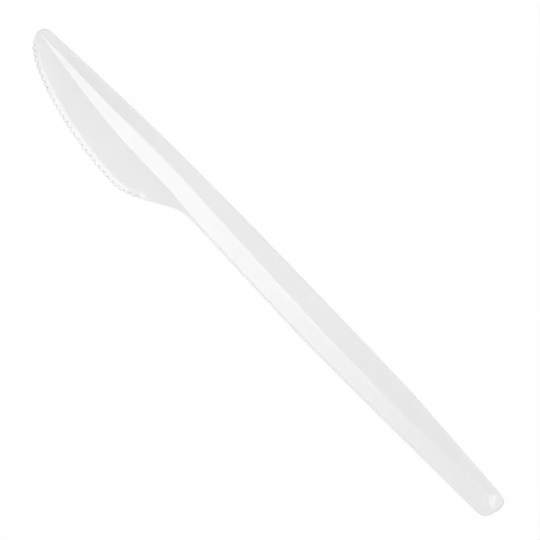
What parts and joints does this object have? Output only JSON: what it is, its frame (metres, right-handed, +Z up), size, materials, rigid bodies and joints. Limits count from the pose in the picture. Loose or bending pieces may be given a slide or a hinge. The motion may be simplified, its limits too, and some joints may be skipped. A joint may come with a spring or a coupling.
{
  "type": "disposable plastic knife",
  "caption": "Moulded white plastic table knife with a round nose, a curved serrated edge with a hollow bevel, a sloping heel and a long ridged handle that is hollow underneath.",
  "frame": {"origin": "on the plane the knife lies on, under the middle of its bounding box", "axes": "+X from the tip to the end of the handle, +Y towards the blunt spine, +Z up through the ridge"},
  "size_m": [0.165, 0.0188, 0.0031],
  "materials": {
    "white_plastic": "semi-gloss, as moulded"
  },
  "bodies": {
    "root": {"knife": "white_plastic"}
  },
  "joints": []
}
